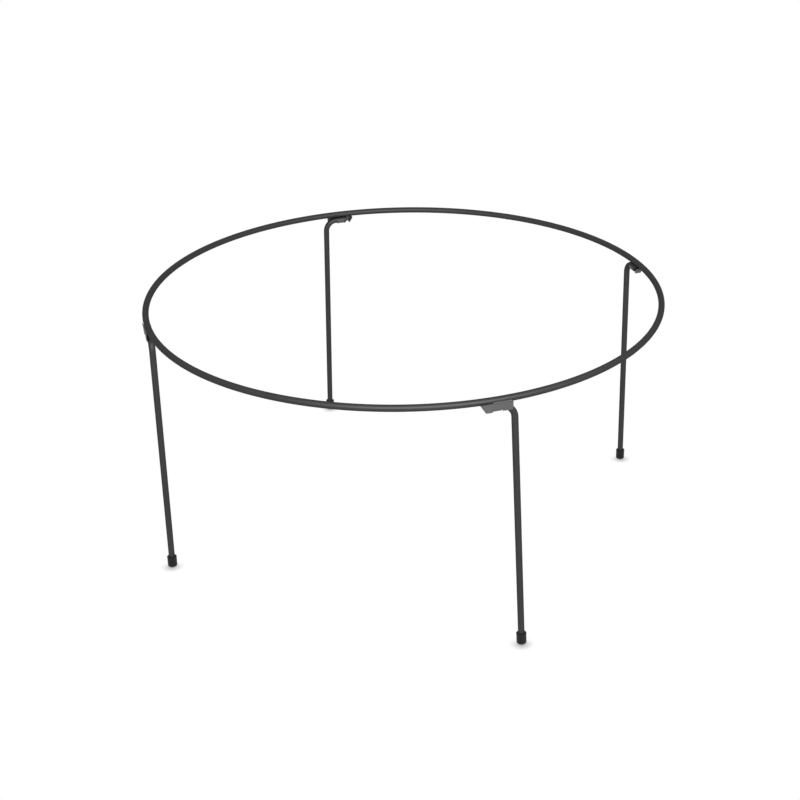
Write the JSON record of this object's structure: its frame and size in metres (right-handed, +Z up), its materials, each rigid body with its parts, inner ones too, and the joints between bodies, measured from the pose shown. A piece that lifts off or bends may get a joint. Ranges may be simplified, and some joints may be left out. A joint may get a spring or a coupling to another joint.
{
  "type": "roundnet stand",
  "caption": "Round steel-tube hoop on inward-folding bent-tube legs with vinyl foot caps: the bare net stand of a roundnet lawn game.",
  "frame": {"origin": "on the floor that the feet stand on, straight below the middle of the hoop", "axes": "+Z is up. Bracket 1 is on +X, with its arm along Y and its leg at the +Y end, and the others follow every quarter turn counter-clockwise seen from above"},
  "size_m": [0.9634, 0.9634, 0.4554],
  "materials": {
    "coated_steel": "satin dark-grey powder coat",
    "coated_weld": "dark-grey powder coat over a rippled weld bead",
    "black_oxide_steel": "black oxide, slightly oily",
    "black_vinyl": "dip-moulded black vinyl, low sheen"
  },
  "bodies": {
    "frame": {"hoop": "coated_steel", "hoop_weld": "coated_weld", "bracket_1": "coated_steel", "bracket_2": "coated_steel", "bracket_3": "coated_steel", "bracket_4": "coated_steel", "bracket_weld_1": "coated_weld", "bracket_weld_2": "coated_weld", "bracket_weld_3": "coated_weld", "bracket_weld_4": "coated_weld"},
    "leg_1": {"leg_1": "coated_steel", "retaining_pin_1": "black_oxide_steel", "foot_cap_1": "black_vinyl"},
    "leg_2": {"leg_2": "coated_steel", "retaining_pin_2": "black_oxide_steel", "foot_cap_2": "black_vinyl"},
    "leg_3": {"leg_3": "coated_steel", "retaining_pin_3": "black_oxide_steel", "foot_cap_3": "black_vinyl"},
    "leg_4": {"leg_4": "coated_steel", "retaining_pin_4": "black_oxide_steel", "foot_cap_4": "black_vinyl"}
  },
  "joints": [
    {"name": "leg_1_fold", "type": "hinge", "parent": "frame", "child": "leg_1", "pos_m": [0.45111, 0, 0.4381], "axis": [0, 1, 0], "range_deg": [0, 92.9]},
    {"name": "leg_2_fold", "type": "hinge", "parent": "frame", "child": "leg_2", "pos_m": [0, 0.45111, 0.4381], "axis": [-1, 0, 0], "range_deg": [0, 92.9]},
    {"name": "leg_3_fold", "type": "hinge", "parent": "frame", "child": "leg_3", "pos_m": [-0.45111, 0, 0.4381], "axis": [0, -1, 0], "range_deg": [0, 92.9]},
    {"name": "leg_4_fold", "type": "hinge", "parent": "frame", "child": "leg_4", "pos_m": [0, -0.45111, 0.4381], "axis": [1, 0, 0], "range_deg": [0, 92.9]}
  ]
}
